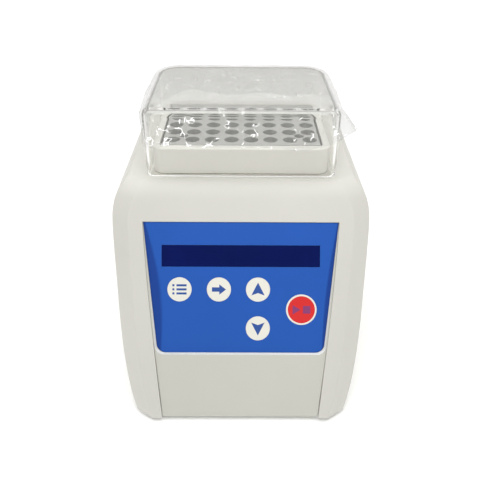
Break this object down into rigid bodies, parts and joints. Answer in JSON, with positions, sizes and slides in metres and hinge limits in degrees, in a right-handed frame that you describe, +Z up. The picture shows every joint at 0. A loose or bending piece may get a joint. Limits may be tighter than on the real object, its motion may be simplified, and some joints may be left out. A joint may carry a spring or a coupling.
{
  "type": "heated mixing block for tubes",
  "caption": "Bench-top mixer: slanted keypad and display, a heated aluminium tube block moved in a small circle, and a clear lift-off lid.",
  "frame": {"origin": "on the floor under the middle of the body", "axes": "+Z up, +X to the right seen from the front, the keypad faces -Y, +Y to the back"},
  "size_m": [0.1918, 0.26, 0.1965],
  "materials": {
    "housing_plastic": "fine satin moulded plastic",
    "surround_plastic": "fine satin moulded plastic",
    "base_plastic": "moulded plastic",
    "keypad_film": "satin printed polyester film",
    "display_window": "dark polished window",
    "key_white": "satin",
    "key_red": "satin",
    "clear_lid": "clear moulded acrylic",
    "block_aluminium": "machined and anodised",
    "plain_aluminium": "machined",
    "steel": "zinc plated",
    "weight_brass": "machined",
    "black_plastic": "moulded plastic",
    "rocker_plastic": "polished",
    "feet_rubber": "matt",
    "circuit_board": "solder resist",
    "rear_plate_metal": "satin paint",
    "heater_foil": "polyimide film",
    "insulation": "fibre board"
  },
  "bodies": {
    "housing": {"upper_housing": "housing_plastic", "base_pan": "base_plastic", "front_fascia": "housing_plastic", "control_overlay": "keypad_film", "lcd_window": "display_window", "lcd_module": "black_plastic", "control_board": "circuit_board", "block_surround": "surround_plastic", "chassis_plate": "steel", "motor_body": "black_plastic", "power_board": "circuit_board", "rear_panel": "rear_plate_metal", "power_inlet": "black_plastic", "switch_frame": "black_plastic", "fan_frame": "black_plastic", "inlet_blade_1": "steel", "inlet_blade_2": "steel", "inlet_blade_3": "steel", "standoff_1": "steel", "standoff_2": "steel", "standoff_3": "steel", "standoff_4": "steel", "rear_screw_1": "steel", "rear_screw_2": "steel", "rear_screw_3": "steel", "rear_screw_4": "steel", "foot_1": "feet_rubber", "foot_2": "feet_rubber", "foot_3": "feet_rubber", "foot_4": "feet_rubber", "foot_screw_1": "steel", "foot_screw_2": "steel", "foot_screw_3": "steel", "foot_screw_4": "steel"},
    "lid": {"lid": "clear_lid"},
    "crank": {"crank_shaft": "steel", "counterweight": "weight_brass"},
    "platform": {"shaker_platform": "plain_aluminium", "pin_bearing": "steel", "insulation_slab": "insulation", "heater_mat": "heater_foil", "heater_plate": "plain_aluminium", "temperature_probe": "steel", "tube_block": "block_aluminium", "block_screw_1": "steel", "block_screw_2": "steel", "block_screw_3": "steel", "block_screw_4": "steel"},
    "idler_1": {"idler_crank_1": "steel"},
    "idler_2": {"idler_crank_2": "steel"},
    "idler_3": {"idler_crank_3": "steel"},
    "idler_4": {"idler_crank_4": "steel"},
    "key_program": {"key_program": "key_white"},
    "key_right": {"key_right": "key_white"},
    "key_up": {"key_up": "key_white"},
    "key_down": {"key_down": "key_white"},
    "key_start_stop": {"key_start_stop": "key_red"},
    "fuse_drawer": {"fuse_drawer": "black_plastic"},
    "power_rocker": {"power_rocker": "rocker_plastic"},
    "fan_rotor": {"fan_rotor": "black_plastic"}
  },
  "joints": [
    {"name": "crank_spin", "type": "hinge", "parent": "housing", "child": "crank", "pos_m": [0, 0.032, 0.087], "axis": [0, 0, 1], "continuous": true},
    {"name": "platform_orbit", "type": "hinge", "parent": "crank", "child": "platform", "pos_m": [0, 0.033, 0.099], "axis": [0, 0, 1], "continuous": true},
    {"name": "idler_1_spin", "type": "hinge", "parent": "housing", "child": "idler_1", "pos_m": [-0.048, 0.002, 0.087], "axis": [0, 0, 1], "continuous": true},
    {"name": "idler_2_spin", "type": "hinge", "parent": "housing", "child": "idler_2", "pos_m": [0.048, 0.002, 0.087], "axis": [0, 0, 1], "continuous": true},
    {"name": "idler_3_spin", "type": "hinge", "parent": "housing", "child": "idler_3", "pos_m": [-0.048, 0.062, 0.087], "axis": [0, 0, 1], "continuous": true},
    {"name": "idler_4_spin", "type": "hinge", "parent": "housing", "child": "idler_4", "pos_m": [0.048, 0.062, 0.087], "axis": [0, 0, 1], "continuous": true},
    {"name": "lid_lift", "type": "slide", "parent": "housing", "child": "lid", "axis": [0, 0, 1], "range_m": [0, 0.09]},
    {"name": "key_program_press", "type": "slide", "parent": "housing", "child": "key_program", "axis": [0, 0.8494, -0.5277], "range_m": [0, 0.0005], "stiffness_N_per_m": 400, "springref_m": -0.0006},
    {"name": "key_right_press", "type": "slide", "parent": "housing", "child": "key_right", "axis": [0, 0.8494, -0.5277], "range_m": [0, 0.0005], "stiffness_N_per_m": 400, "springref_m": -0.0006},
    {"name": "key_up_press", "type": "slide", "parent": "housing", "child": "key_up", "axis": [0, 0.8494, -0.5277], "range_m": [0, 0.0005], "stiffness_N_per_m": 400, "springref_m": -0.0006},
    {"name": "key_down_press", "type": "slide", "parent": "housing", "child": "key_down", "axis": [0, 0.8494, -0.5277], "range_m": [0, 0.0005], "stiffness_N_per_m": 400, "springref_m": -0.0006},
    {"name": "key_start_stop_press", "type": "slide", "parent": "housing", "child": "key_start_stop", "axis": [0, 0.8494, -0.5277], "range_m": [0, 0.0005], "stiffness_N_per_m": 400, "springref_m": -0.0006},
    {"name": "rocker_tip", "type": "hinge", "parent": "housing", "child": "power_rocker", "pos_m": [0.002, 0.124, 0.046], "axis": [1, 0, 0], "range_deg": [0, 18]},
    {"name": "fuse_drawer_pull", "type": "slide", "parent": "housing", "child": "fuse_drawer", "axis": [0, 1, 0], "range_m": [0, 0.017]},
    {"name": "fan_spin", "type": "hinge", "parent": "housing", "child": "fan_rotor", "pos_m": [-0.034, 0.119, 0.046], "axis": [0, 1, 0], "continuous": true}
  ],
  "couplings": [
    {"joint": "platform_orbit", "follows": "crank_spin", "ratio": -1},
    {"joint": "idler_1_spin", "follows": "crank_spin", "ratio": 1},
    {"joint": "idler_2_spin", "follows": "crank_spin", "ratio": 1},
    {"joint": "idler_3_spin", "follows": "crank_spin", "ratio": 1},
    {"joint": "idler_4_spin", "follows": "crank_spin", "ratio": 1}
  ]
}
